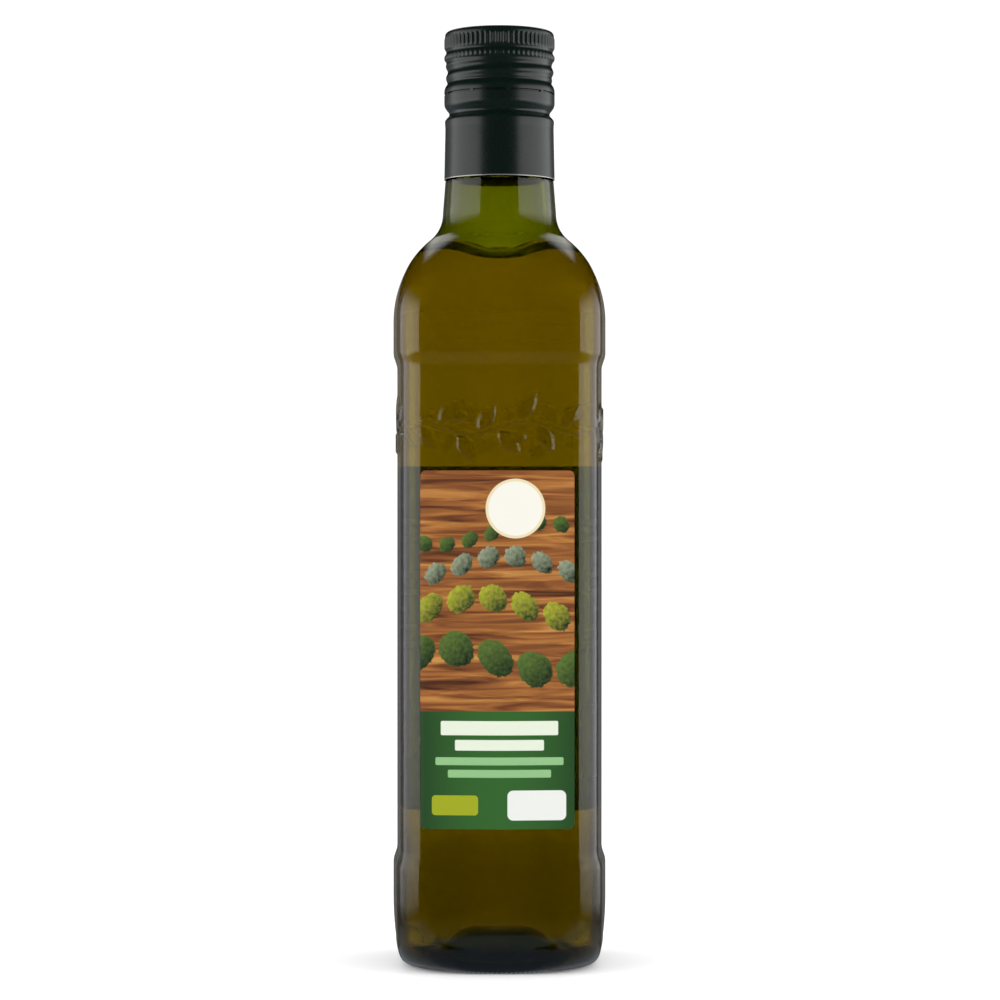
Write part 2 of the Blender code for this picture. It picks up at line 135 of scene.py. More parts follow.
# %% A class for the nodes of a material, a light or the world
class Paint:
    """A tree of nodes, and the shader that its formulas feed."""

    def __init__(self, owner, shader="Principled BSDF"):
        owner.use_nodes = True
        self.owner = owner
        self.tree = owner.node_tree
        self.shader = self.tree.nodes[shader]

    def connect(self, value, socket):
        if isinstance(value, Wire):
            self.tree.links.new(value.socket, socket)
        else:
            socket.default_value = value

    def node(self, kind, settings=None, inputs=None, output=0):
        """Adds any node: its kind, its settings, then the values or links of its sockets."""
        made = self.tree.nodes.new("ShaderNode" + kind)
        for name, value in (settings or {}).items():
            if name == "stops":
                self.set_stops(made.color_ramp, value)
            else:
                setattr(made, name, value)
        for name, value in (inputs or {}).items():
            self.connect(value, made.inputs[name])
        return Wire(self, made.outputs[output])

    def set_stops(self, ramp, stops):
        while len(ramp.elements) < len(stops):
            ramp.elements.new(0.5)
        for element, (position, colour) in zip(ramp.elements, stops):
            element.position = position
            element.color = colour

    def set(self, **inputs):
        """Gives the shader its values or links, with _ for a space."""
        for name, value in inputs.items():
            self.connect(value, self.shader.inputs[name.replace("_", " ")])

    def mix(self, share, first, second):
        settings = {"data_type": "RGBA"}
        return self.node("Mix", settings, {0: share, 6: first, 7: second}, output=2)

    def fade(self, value, start, end):
        """0 before start, 1 after end, and a soft ramp between them."""
        settings = {"interpolation_type": "SMOOTHSTEP"}
        inputs = {"Value": value, "From Min": start, "From Max": end}
        return self.node("MapRange", settings, inputs)

    def noise(self, scale, detail, place=None, kind="3D", **more):
        """Soft random spots, over the piece itself if no other place is given."""
        inputs = {"Vector": place or self.object_place(), "Scale": scale, "Detail": detail, **more}
        return self.node("TexNoise", {"noise_dimensions": kind}, inputs)

    def axes(self, vector):
        parts = self.node("SeparateXYZ", inputs={0: vector})
        return [parts.output(axis) for axis in "XYZ"]

    def object_place(self):
        """Where a point of the piece is, in metres, as a vector."""
        return self.node("TexCoord", output="Object")

    def place(self):
        """Where a point of the piece is, in millimetres: across, deep and up."""
        return [part * (1.0 / MM) for part in self.axes(self.object_place())]

    def bump(self, height, distance):
        return self.node("Bump", inputs={"Height": height, "Distance": distance, "Strength": 1.0})

    def absorb(self, tint, density):
        """Takes colour from the light for every millimetre that it goes through the piece."""
        made = self.node("VolumeAbsorption", inputs={"Color": tint, "Density": density})
        self.connect(made, self.tree.nodes["Material Output"].inputs["Volume"])

    def cover(self, thing):
        thing.data.materials.append(self.owner)


# %% Colours
WHITE = (1.0, 1.0, 1.0, 1.0)
BLACK = (0.0, 0.0, 0.0, 1.0)


def linear(red, green, blue):
    """A colour as a screen shows it, from 0 to 255, in the linear numbers that Blender works in."""
    parts = []
    for value in (red, green, blue):
        share = value / 255.0
        parts.append(share / 12.92 if share <= 0.04045 else ((share + 0.055) / 1.055) ** 2.4)
    return (*parts, 1.0)


print("a screen's middle grey is", round(linear(128, 128, 128)[0], 3), "in linear light")

# %% [markdown]
# ## The shape of the glass
# A moulded bottle can be seen as a stack of rings. Each ring is a square with round corners and slightly
# bowed sides, and its squareness fades to nothing at the foot and at the neck. One formula gives the ring,
# and two outlines, of the outside and of the hollow, say how wide it is at each height. A box with
# bevelled edges would be quicker, but it can't turn round. Rings up the outside and down the hollow give
# a closed wall with a true thickness, which bends the light.

# %% Sizes of the body
# Points in each ring
COLUMNS = 384
# Half widths of the body at its widest, and of the panel
BODY_HALF, PANEL_HALF = mm(30.7, 29.6)
# The radius of the panel's corners, and how far its sides bow out
PANEL_CORNER, SIDE_BOW = mm(8.1, 1.6)
# Heights between which the body steps in to the panel, and out of it
LOWER_STEP = mm(29.0, 33.8)
UPPER_STEP = mm(171.1, 175.8)
# The body is square above the first height, and turns round between the others
SQUARE_FROM = 19.4 * MM
ROUNDING = mm(188.0, 213.0)
# From the middle of one side to the middle of the next
QUARTER = pi / 2
print("the panel is", round((UPPER_STEP[0] - LOWER_STEP[1]) / MM, 1), "mm tall")


# %% Helpers for outlines
def smooth_step(value, low, high):
    share = min(max((value - low) / (high - low), 0.0), 1.0)
    return share * share * (3.0 - 2.0 * share)


def shares(steps):
    """Even steps from 0 to 1, with both ends."""
    return [step / steps for step in range(steps + 1)]


def between(start, end, share):
    """The point at a share of the way from one point to another."""
    return tuple(a + (b - a) * share for a, b in zip(start, end))


def arc(centre, radii, start, end, steps):
    """Points of an arc as (half width, height), with its angles in degrees."""
    angles = [radians(start + (end - start) * share) for share in shares(steps)]
    return [(centre[0] + radii[0] * cos(angle), centre[1] + radii[1] * sin(angle))
            for angle in angles]


def straight(start, end, steps):
    """Points along a straight line, without its first one."""
    return [between(start, end, share) for share in shares(steps)[1:]]


def soft_steps(low, high, low_half, high_half, steps):
    """Points of a soft step between two widths."""
    return [(low_half + (high_half - low_half) * smooth_step(share, 0.0, 1.0), low + (high - low) * share)
            for share in shares(steps)]


print("a quarter up a soft step:", smooth_step(0.25, 0.0, 1.0))


# %% The formula of a ring
def off_nearest(angle, span):
    """The angle from the nearest of several places that lie a span apart."""
    return (angle + 0.5 * span) % span - 0.5 * span


def section_radius(angle, half, corner, bow):
    """How far the wall is from the axis, in a square with round corners and bowed sides."""
    off = abs(off_nearest(angle, QUARTER))
    flat = half - bow
    centre = flat - corner
    if flat * tan(off) <= centre:
        reach = flat / cos(off)
    else:
        root = corner ** 2 - centre ** 2 * (1.0 - sin(2.0 * off))
        reach = centre * (cos(off) + sin(off)) + sqrt(max(root, 0.0))
    return reach + bow * cos(2.0 * off) ** 2


def ring_reach(angle, half, squareness, corner):
    """The same for a ring that is only partly square, down to a circle at 0."""
    rounding = half + (corner - half) * squareness
    return section_radius(angle, half, rounding, SIDE_BOW * squareness)


def outer_squareness(height):
    if height <= SQUARE_FROM:
        rest = 1.0 - max(height, 0.0) / SQUARE_FROM
        return sqrt(1.0 - rest * rest)
    return 1.0 - smooth_step(height, *ROUNDING)


corner_reach = ring_reach(0.5 * QUARTER, PANEL_HALF, 1.0, PANEL_CORNER)
print("the panel's corners are", round(corner_reach / MM, 1), "mm from the axis")

# %% Shoulder
SHOULDER_FROM, SHOULDER_RADIUS, FILLET_RADIUS = mm(185.0, 31.2, 10.4)
# The half width of the neck where it leaves the shoulder
NECK_LOW = 16.4 * MM


def shoulder(half, radius, fillet, neck, steps):
    """A round shoulder that turns into the neck by a hollow fillet."""
    centre = (half - radius, SHOULDER_FROM)
    reach = radius + fillet
    across = neck + fillet - centre[0]
    rise = sqrt(reach ** 2 - across ** 2)
    turn = degrees(atan2(rise, across))
    hollow = (neck + fillet, SHOULDER_FROM + rise)
    return (arc(centre, (radius, radius), 0.0, turn, steps[0])
            + arc(hollow, (fillet, fillet), 180.0 + turn, 180.0, steps[1])[1:])


neck_from = shoulder(BODY_HALF, SHOULDER_RADIUS, FILLET_RADIUS, NECK_LOW, (1, 1))[-1][1]
print("the neck starts at", round(neck_from / MM, 1), "mm")

# %% [markdown]
# ## The raised spray
# Above the label, a leafy spray stands half a millimetre out of each side. It is cut into the mould, so
# its edges are round and it has no seam with the glass. It could be made of separate leaves joined on, but
# every buried face would show inside clear glass. Here the glass's own surface is pushed out, by a height
# that is worked out for each point of that band.

# %% Sizes of the spray
SPRAY_MIDDLE, SPRAY_HALF, RELIEF = mm(153.8, 22.5, 0.5)
SPRAY_BAND = mm(143.2, 164.4)
# The stem waves up and down, and is a little lower than the leaves
STEM_WAVE, STEM_LENGTH, STEM_HALF = mm(1.8, 30.0, 0.9)
STEM_RELIEF = 0.7
# A leaf's length and width, and the widths of its crisp lower rim and soft upper one
LEAF = mm(9.0, 4.6)
LEAF_EDGES = mm(0.5, 0.9)
LEAF_FULLNESS = 0.8
# Leaves stand on both sides of the stem by turns, and sway with it a little
LEAVES = 8
LEAF_RUN, LEAF_ROOT = mm(6.0, 0.9)
LEAF_TURN, LEAF_SWAY = 54.0, 0.4
# Two of them have a fruit on the other side of the stem
FRUIT_AT = (2, 5)
FRUIT = mm(2.2, 1.7)
FRUIT_FROM_STEM = 4.4 * MM


# %% Where the leaves and fruits are
def stem_height(across):
    return STEM_WAVE * sin(2.0 * pi * across / STEM_LENGTH)


# Each leaf as (across, up, turn in degrees), and each fruit as (across, up)
leaf_places = []
fruit_places = []
for number in range(LEAVES):
    across = (2.0 * SPRAY_HALF - LEAF_RUN) * number / (LEAVES - 1) - SPRAY_HALF
    side = 1 if number % 2 else -1
    slope = degrees(atan2(stem_height(across + MM) - stem_height(across), MM))
    turn = LEAF_SWAY * slope + side * LEAF_TURN
    leaf_places.append((across, stem_height(across) + side * LEAF_ROOT, turn))
    if number in FRUIT_AT:
        fruit_places.append((across, stem_height(across) - side * FRUIT_FROM_STEM))
print("spray:", len(leaf_places), "leaves and", len(fruit_places), "fruits on each side")


# %% The spray as a height over each side
def leaf_relief(across, up, place):
    """Height of one leaf, at a point of the side."""
    turn = radians(place[2])
    x, y = across - place[0], up - place[1]
    along = x * cos(turn) + y * sin(turn)
    aside = y * cos(turn) - x * sin(turn)
    if not 0.0 < along < LEAF[0]:
        return 0.0
    half = 0.5 * LEAF[1] * sin(pi * (along / LEAF[0]) ** LEAF_FULLNESS)
    if abs(aside) >= half:
        return 0.0
    crisp, soft = LEAF_EDGES
    return RELIEF * smooth_step(half + aside, 0.0, crisp) * smooth_step(half - aside, 0.0, soft)


def spray_relief(across, up):
    """Height of the whole spray at a point of a side, from the side's middle."""
    height = 0.0
    for place in leaf_places:
        height = max(height, leaf_relief(across, up, place))
    for place in fruit_places:
        away = hypot((across - place[0]) / FRUIT[0], (up - place[1]) / FRUIT[1])
        height = max(height, RELIEF * sqrt(max(0.0, 1.0 - away * away)))
    if abs(across) < SPRAY_HALF:
        off_stem = abs(up - stem_height(across))
        height = max(height, STEM_RELIEF * RELIEF * (1.0 - smooth_step(off_stem, 0.0, STEM_HALF)))
    return height


print("a fruit stands out by", round(spray_relief(*fruit_places[0]) / MM, 2), "mm")

# %% [markdown]
# ## The foot and the heel
# A bottle stands on a narrow ring, which is pressed with fine ridges, so that the hot glass touches the
# belt at few points. They show as small scallops along the lowest edge. Above them the heel rises nearly
# upright and then sweeps out to the body. A bevel would be plainly round, and a power of a sine gives
# this curve. The ridges come from lifting the rings between them, so the foot still stands level.

# %% Foot and heel
FOOT_INNER, FOOT_OUTER, HEEL_HALF, HEEL_TOP = mm(24.2, 26.9, 30.0, 8.0)
HEEL_POWER = 1.5
FOOT_RIDGES = COLUMNS // 3
RIDGE_DEPTH, RIDGE_FADE = mm(0.4, 2.2)


def heel(steps):
    """Half widths and heights up the heel, which starts nearly upright at the foot."""
    turns = [0.5 * pi * share for share in shares(steps)]
    return [(FOOT_OUTER + (HEEL_HALF - FOOT_OUTER) * sin(turn) ** HEEL_POWER,
             HEEL_TOP * (1.0 - cos(turn))) for turn in turns]


def above_heel(steps):
    """From the heel on up to the square body, leaning out less and less."""
    top = (BODY_HALF - HEEL_HALF, SQUARE_FROM - HEEL_TOP)
    return [(HEEL_HALF + top[0] * (1.0 - (1.0 - share) ** 2), HEEL_TOP + top[1] * share)
            for share in shares(steps)[1:]]


def foot_lift(angle, height):
    fade = 1.0 - smooth_step(height, 0.0, RIDGE_FADE)
    return RIDGE_DEPTH * fade * (0.5 - 0.5 * cos(FOOT_RIDGES * angle))


print("the foot has", FOOT_RIDGES, "ridges")

# %% The outline of the outside
# The neck's upper half width, and the heights between which it steps in under the closure
NECK_HIGH = 15.7 * MM
LEDGE = mm(225.5, 226.1)
# Inside the closure: half widths of the neck with the heights that they reach
COVERED_NECK = mm(14.8, 240.0)
FINISH = mm(13.4, 243.4)
MOUTH_TOP, LIP_ROUND = mm(267.4, 1.0)
# How finely each stretch is divided
FOOT_STEPS = 4
HEEL_STEPS = 18
ABOVE_HEEL_STEPS = 6
PANEL_STEPS = 10
SPRAY_STEPS = 66
SHOULDER_STEPS = (26, 14)
LIP_STEPS = 5


def outer_outline():
    """From the foot's inner edge up the outside to the lip, as half widths and heights."""
    points = [(FOOT_INNER, 0.0)] + straight((FOOT_INNER, 0.0), (FOOT_OUTER, 0.0), FOOT_STEPS)[:-1]
    points += heel(HEEL_STEPS) + above_heel(ABOVE_HEEL_STEPS)
    points += soft_steps(*LOWER_STEP, BODY_HALF, PANEL_HALF, PANEL_STEPS)
    points += straight((PANEL_HALF, LOWER_STEP[1]), (PANEL_HALF, SPRAY_BAND[0]), 1)
    points += straight((PANEL_HALF, SPRAY_BAND[0]), (PANEL_HALF, SPRAY_BAND[1]), SPRAY_STEPS)
    points += soft_steps(*UPPER_STEP, PANEL_HALF, BODY_HALF, PANEL_STEPS)
    points += shoulder(BODY_HALF, SHOULDER_RADIUS, FILLET_RADIUS, NECK_LOW, SHOULDER_STEPS)
    points += [(NECK_HIGH, LEDGE[0]), (COVERED_NECK[0], LEDGE[1]), COVERED_NECK, FINISH]
    lip = (FINISH[0] - LIP_ROUND, MOUTH_TOP - LIP_ROUND)
    return points + arc(lip, (LIP_ROUND, LIP_ROUND), 0.0, 90.0, LIP_STEPS)


def glass_outside(angle, half, height):
    """The distance from the axis and the height, at one angle of a ring."""
    reach = ring_reach(angle, half, outer_squareness(height), PANEL_CORNER + half - PANEL_HALF)
    if SPRAY_BAND[0] < height < SPRAY_BAND[1]:
        across = reach * sin(off_nearest(angle, QUARTER))
        reach += spray_relief(across, height - SPRAY_MIDDLE)
    return reach, height + foot_lift(angle, height)


print("rings outside:", len(outer_outline()))

# %% [markdown]
# ## The hollow and the pushed-up base
# The hollow could be the outside drawn in by one width. Real glass isn't so even: it settles at the base
# while it is hot, and it is thin in the corners, which are blown furthest. The base is pushed up in its
# middle, so that the bottle stands on its ring. This dome turns the light behind it away from the eye,
# which draws the dark shape with slanting ends in the middle of the base.

# %% Sizes of the hollow
# The wall on the flats, at the base and in the neck, and the heights between which it thins
WALL, BASE_WALL, NECK_WALL = mm(2.7, 4.1, 3.3)
WALL_THINS = mm(20.0, 60.0)
# The hollow's corners are tighter than the body's, and it turns round a little lower
INNER_CORNER, INSIDE_LOWER = mm(3.2, 1.5)
# The dome's height under the glass, and the floor over it: its edge, its rise and its radius
PUNT_HEIGHT, FLOOR_EDGE, FLOOR_RISE, FLOOR_RADIUS = mm(8.0, 3.6, 7.8, 21.0)
INNER_HEEL_TOP = 9.5 * MM
# The dome is level up to this share of its radius, and its rings are at these shares
DOME_FROM = 0.35
PUNT_SHARES = (0.08, 0.2, 0.4, 0.6, 0.8, 0.92)
FLOOR_SHARES = (0.2, 0.4, 0.5, 0.6, 0.7, 0.8, 0.9)
# The neck's bore as half widths and heights
NECK_BORE = mm(12.2, 225.5)
COVERED_BORE = mm(12.1, 240.0)
FINISH_BORE = mm(11.0, 244.5)
# How finely each stretch is divided
HEEL_INSIDE_STEPS = 14
PANEL_INSIDE_STEPS = 8
THINNING_STEPS = 8
SHOULDER_INSIDE_STEPS = (16, 10)


# %% The outline of the hollow
def wall(height):
    return BASE_WALL + (WALL - BASE_WALL) * smooth_step(height, *WALL_THINS)


def dome(share):
    """What is left of the dome's height, at a share of the way out from its middle."""
    return 1.0 - smooth_step(share, DOME_FROM, 1.0)


def underside():
    """The outside of the dome, from its middle out towards the foot."""
    return [(FOOT_INNER * share, PUNT_HEIGHT * dome(share)) for share in PUNT_SHARES]


def hollow_floor():
    """The inside of the dome, from its middle out towards the floor's edge."""
    return [(FLOOR_RADIUS * share, FLOOR_EDGE + FLOOR_RISE * dome(share)) for share in FLOOR_SHARES]


def inner_outline():
    """From the floor's edge up to the top of the shoulder, as half widths and heights."""
    body, panel = BODY_HALF - WALL, PANEL_HALF - WALL
    radii = (BODY_HALF - BASE_WALL - FLOOR_RADIUS, INNER_HEEL_TOP - FLOOR_EDGE)
    points = arc((FLOOR_RADIUS, INNER_HEEL_TOP), radii, -90.0, 0.0, HEEL_INSIDE_STEPS)
    outside = soft_steps(*LOWER_STEP, BODY_HALF, PANEL_HALF, PANEL_INSIDE_STEPS)
    outside += straight((PANEL_HALF, LOWER_STEP[1]), (PANEL_HALF, WALL_THINS[1]), THINNING_STEPS)
    points += [(half - wall(height), height) for half, height in outside]
    points += soft_steps(*UPPER_STEP, panel, body, PANEL_INSIDE_STEPS)
    return points + shoulder(body, SHOULDER_RADIUS - WALL, FILLET_RADIUS + WALL,
                             NECK_LOW - NECK_WALL, SHOULDER_INSIDE_STEPS)


def inner_squareness(height):
    if height <= INNER_HEEL_TOP:
        return smooth_step(height, FLOOR_EDGE, INNER_HEEL_TOP)
    return outer_squareness(height + INSIDE_LOWER)


def glass_inside(angle, half, height):
    corner = INNER_CORNER + max(0.0, half - (PANEL_HALF - WALL))
    return ring_reach(angle, half, inner_squareness(height), corner), height


hollow_wall = inner_outline()
print("glass under the dome's middle:", round((FLOOR_EDGE + FLOOR_RISE - PUNT_HEIGHT) / MM, 1), "mm")

# %% Rings of points, and a closed mesh through them
SHARP_ANGLE = 50.0


def circle(angle, half, height):
    return half, height


def rings(outline, shape, columns=COLUMNS):
    """A ring of points for each half width and height, with the shape's reach and level at each angle."""
    made = []
    for half, height in outline:
        ring = []
        for angle in [2.0 * pi * column / columns for column in range(columns)]:
            reach, level = shape(angle, half, height)
            ring.append((reach * cos(angle), reach * sin(angle), level))
        made.append(ring)
    return made


def smooth_mesh(name, points, faces, sharp_angle):
    """A mesh that is shaded smooth, but for the edges that turn by more than a given angle."""
    mesh = bpy.data.meshes.new(name)
    mesh.from_pydata(points, [], faces)
    mesh.shade_smooth()
    mesh.set_sharp_from_angle(angle=radians(sharp_angle))
    print(name, len(mesh.polygons), "faces")
    return add_object(name, mesh)


def loft(name, rings, start, end):
    """A closed mesh through rings of as many points, with a point in the middle of each end."""
    count = len(rings[0])
    points = [point for ring in rings for point in ring]
    first, last = len(points), len(points) + 1
    points += [(0.0, 0.0, start), (0.0, 0.0, end)]
    following = [(i, (i + 1) % count) for i in range(count)]
    faces = []
    for level in range(len(rings) - 1):
        low, high = level * count, (level + 1) * count
        faces += [(low + i, low + j, high + j, high + i) for i, j in following]
    top = (len(rings) - 1) * count
    for i, j in following:
        faces.append((j, i, first))
        faces.append((top + i, top + j, last))
    return smooth_mesh(name, points, faces, SHARP_ANGLE)


# %% The glass: out to the foot, up to the lip, and down the hollow
bore = [(FINISH_BORE[0], MOUTH_TOP), FINISH_BORE, COVERED_BORE, NECK_BORE]
glass_rings = rings(underside(), circle) + rings(outer_outline(), glass_outside)
glass_rings += rings(bore + hollow_wall[::-1], glass_inside) + rings(hollow_floor()[::-1], circle)
glass = loft("bottle_glass", glass_rings, PUNT_HEIGHT, FLOOR_EDGE + FLOOR_RISE)

# %% [markdown]
# ## Green glass
# The green is not on the surface: it is in the glass, and thick places are darker than thin ones.
# A tinted surface would give one colour everywhere. So the shader is clear, and a Volume Absorption takes
# colour away with every millimetre. Moulded glass is never quite flat either, so a faint, slow bump makes
# the reflections waver.

# %% Green glass
GLASS_DENSITY = 1430.0
GLASS_TINT = (0.741, 0.752, 0.0, 1.0)
GLASS_BENDS = 1.52
GLASS_WAVE = 0.02 * MM
WAVES_PER_METRE = 55.0

green_glass = Paint(bpy.data.materials.new("green_glass"))
green_glass.set(Base_Color=WHITE, Transmission_Weight=1.0, IOR=GLASS_BENDS, Roughness=0.0)
wave = green_glass.noise(WAVES_PER_METRE, 1.0)
green_glass.set(Normal=green_glass.bump(wave, GLASS_WAVE))
green_glass.absorb(GLASS_TINT, GLASS_DENSITY)
green_glass.cover(glass)
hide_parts("bottle")
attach(glass, "root")
loss = GLASS_DENSITY * (1 - GLASS_TINT[0]) * WALL
print("red light left after one wall:", round(exp(-loss), 2))

# %% [markdown]
# ## The oil
# Oil wets glass. With an air gap between the two, the inside of the wall would shine like a mirror, so
# the oil reaches a little way into the wall, and the light passes from one to the other as it really does.
# Its surface isn't flat to the edge either: it climbs the wall in a small hollow curve, highest in the
# four corners, which draws the dark curved line at the top of the oil. A plain disc would be easier, and
# would show as a straight line.

# %% Sizes of the oil
OIL_LEVEL, OIL_IN_WALL = mm(200.3, 0.15)
# The radius of the hollow curve at the edge, and its steps
MENISCUS, MENISCUS_STEPS = 2.6 * MM, 10
# How much higher the edge is in the corners, and how fast that fades inwards
CORNER_CLIMB, CLIMB_POWER = 2.4 * MM, 4
# The level part has two more rings, at these shares of its radius
LEVEL_SHARES = (0.6, 0.2)


# %% The oil's outline
def wall_at(height):
    """Half width of the hollow at a height, and the wall's slope there, in radians from level."""
    for (wide, low), (narrow, high) in zip(hollow_wall, hollow_wall[1:]):
        if low <= height <= high:
            share = (height - low) / (high - low)
            return wide + (narrow - wide) * share, atan2(high - low, wide - narrow)
    raise ValueError("no wall at that height")


def oil_surface():
    """The oil's top, from where it meets the wall to the level part, as half widths and heights."""
    half, slope = wall_at(OIL_LEVEL)
    centre = (half - MENISCUS / tan(0.5 * slope), OIL_LEVEL + MENISCUS)
    return arc(centre, (MENISCUS, MENISCUS), 90.0 - degrees(slope), -90.0, MENISCUS_STEPS)


surface = oil_surface()
edge_half, edge_height = surface[0]
print("the oil meets the wall at", round(edge_height / MM, 1), "mm")


# %% The oil, from the floor up to its surface
def climbing(angle, half, height):
    """The surface, lifted along the wall where the hollow has its corners."""
    corners = 0.5 - 0.5 * cos(4.0 * angle)
    rise = CORNER_CLIMB * (half / edge_half) ** CLIMB_POWER * corners
    narrower = wall_at(edge_height)[0] - wall_at(edge_height + rise)[0]
    return glass_inside(angle, half - narrower, height + rise)


on_floor = [(radius, height - OIL_IN_WALL) for radius, height in hollow_floor()]
in_wall = [(half + OIL_IN_WALL, height - (OIL_IN_WALL if height < INNER_HEEL_TOP else 0.0))
           for half, height in hollow_wall if height < edge_height]
level = [(share * surface[-1][0], OIL_LEVEL) for share in LEVEL_SHARES]
oil_rings = rings(on_floor, circle) + rings(in_wall, glass_inside) + rings(surface + level, climbing)
oil = loft("oil_fill", oil_rings, FLOOR_EDGE + FLOOR_RISE - OIL_IN_WALL, OIL_LEVEL)

# %% Olive oil
OIL_DENSITY = 120.0
OIL_TINT = (0.968, 0.868, 0.0, 1.0)
OIL_BENDS = 1.47

olive_oil = Paint(bpy.data.materials.new("olive_oil"))
olive_oil.set(Base_Color=WHITE, Transmission_Weight=1.0, IOR=OIL_BENDS, Roughness=0.0)
olive_oil.absorb(OIL_TINT, OIL_DENSITY)
olive_oil.cover(oil)
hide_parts("oil")
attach(oil, "root")
print("the oil's tint:", OIL_TINT[:3])

# %% [markdown]
# ## The closure
# It is one thin aluminium cup. Rolling tools press its thread and grooves into it on the bottle, and a
# line of slits tears when it is first opened. It could be modelled flat and wrapped, but a turned outline
# is simpler: corners are rounded as bent metal is, and knurls, thread and slits are small changes of
# radius at each angle.

# %% Sizes of the closure
CLOSURE_TOP, TOP_ROUND = mm(269.0, 1.3)
# Points of the skirt and of the grooves, as half widths and heights
SKIRT_BOTTOM = mm(16.0, 226.1)
SKIRT_MIDDLE = mm(15.7, 240.8)
SKIRT_TOP = mm(15.85, 243.2)
UPPER_GROOVE = mm(15.0, 254.0)
KNURL_GROOVE = mm(15.3, 262.9)
# Bands, as the lowest height, the highest height and the half width
LOWER_GROOVE = mm(244.6, 245.4, 14.55)
TEAR_BAND = mm(246.9, 252.9, 16.0)
THREAD = mm(254.7, 260.0, 15.35)
BEAD = mm(260.8, 261.8, 15.9)
KNURL_BAND = mm(263.9, 267.3, 15.8)
# The bevels of the tear band: how far in, and how tall
BEVEL = mm(0.3, 0.8)
# Inside: the metal's thickness, and the part along the neck
CLOSURE_WALL, CLOSURE_INSIDE, TURN_IN, CLOSURE_CEILING = mm(0.3, 13.7, 244.0, 267.7)
# The first ring round the middle of the top, inside and outside
HUB = 1.0 * MM
print("the closure is", round((CLOSURE_TOP - SKIRT_BOTTOM[1]) / MM, 1), "mm tall")

# %% An outline with rounded bends
# How far a bend reaches along each side, and its largest share of that side
BEND = 0.45 * MM
BEND_SHARE = 0.45
BEND_STEPS = 3
TOP_STEPS = 6
# Longest stretch between two rings above the skirt
LONGEST = 0.35 * MM


def bent(points):
    """Rounds each corner of an outline, as sheet metal is at a bend."""
    made = [points[0]]
    for before, corner, after in zip(points, points[1:], points[2:]):
        ends = []
        for other in (before, after):
            length = dist(corner, other)
            ends.append(between(corner, other, min(BEND, BEND_SHARE * length) / length))
        for share in shares(BEND_STEPS):
            made.append(between(between(ends[0], corner, share), between(corner, ends[1], share), share))
    return made + [points[-1]]


def divided(points):
    """The same outline, with no stretch that is too long."""
    made = [points[0]]
    for start, end in zip(points, points[1:]):
        made += straight(start, end, max(1, ceil(dist(start, end) / LONGEST)))
    return made


def both_edges(band):
    low, high, half = band
    return [(half, high), (half, low)]


def closure_outline():
    """From the middle of the top down the outside."""
    corner = (KNURL_BAND[2] - TOP_ROUND, CLOSURE_TOP - TOP_ROUND)
    points = [(HUB, CLOSURE_TOP)] + arc(corner, (TOP_ROUND, TOP_ROUND), 90.0, 0.0, TOP_STEPS)
    points += both_edges(KNURL_BAND)[1:] + [KNURL_GROOVE]
    points += both_edges(BEAD) + both_edges(THREAD) + [UPPER_GROOVE]
    low, high, half = TEAR_BAND
    points += [(half - BEVEL[0], high), (half, high - BEVEL[1])]
    points += [(half, low + BEVEL[1]), (half - BEVEL[0], low)]
    points += both_edges(LOWER_GROOVE) + [SKIRT_TOP, SKIRT_MIDDLE, SKIRT_BOTTOM]
    rough = bent(points)
    return (divided([point for point in rough if point[1] >= LOWER_GROOVE[0]])
            + [point for point in rough if point[1] < LOWER_GROOVE[0]])


print("points of the closure's outline:", len(closure_outline()))

# %% Knurls, nicks and thread
KNURLS = 66
# Each with its band, where its fades start and end from the band's edges, and its depth
KNURLING = (KNURL_BAND, mm(-0.3, 0.4, -0.5, 0.0), 0.2 * MM)
NICKS = (BEAD, mm(-0.3, 0.0, 0.0, 0.3), 0.12 * MM)
THREAD_PITCH, THREAD_DEPTH = mm(4.2, 0.35)


def flutes(angle, height, band, fades, depth):
    """Flutes round a band, which fade in at its lower edge and out at its upper one."""
    low, high, _ = band
    fade = smooth_step(height, low + fades[0], low + fades[1])
    fade *= 1.0 - smooth_step(height, high + fades[2], high + fades[3])
    return depth * fade * cos(KNURLS * angle)


def thread(angle, height):
    """A wave that climbs with the angle, and fades out at both edges of its band."""
    low, high, _ = THREAD
    if not low < height < high:
        return 0.0
    fade = min(1.0, 2.0 * min(height - low, high - height) / (0.5 * (high - low)))
    return THREAD_DEPTH * fade * sin(2.0 * pi * height / THREAD_PITCH - angle)


# %% The tear line
TEAR_LINE, TEAR_WIDTH, TEAR_DEPTH, BRIDGE_WIDTH = mm(250.7, 0.45, 0.5, 1.3)
BRIDGES = 9
# Shares of a width between which a slit fades, upwards and at a bridge
SLIT_FADES = (0.35, 0.65)
BRIDGE_FADES = (0.4, 0.6)
# Points that draw the slits, as shares of their width, and how far others stay away
SLIT_RINGS = (0.7, 0.5, 0.3, -0.3, -0.5, -0.7)
SLIT_CLEAR = 0.75


def slit(angle, height):
    """A line of slits, with a narrow bridge of metal left between each two."""
    inside = 1.0 - smooth_step(abs(height - TEAR_LINE) / TEAR_WIDTH, *SLIT_FADES)
    to_bridge = abs(off_nearest(angle, 2.0 * pi / BRIDGES)) * TEAR_BAND[2]
    return -TEAR_DEPTH * inside * smooth_step(to_bridge / BRIDGE_WIDTH, *BRIDGE_FADES)


def slitted_outline():
    """The outline, with its points near the tear line replaced by those of the slits."""
    face = TEAR_BAND[2] - BEVEL[0]
    points = [(half, height) for half, height in closure_outline()
              if abs(height - TEAR_LINE) > SLIT_CLEAR * TEAR_WIDTH or half < face]
    points += [(TEAR_BAND[2], TEAR_LINE + share * TEAR_WIDTH) for share in SLIT_RINGS]
    return sorted(points, key=lambda point: (-point[1], point[0]))


print("with the slits:", len(slitted_outline()))

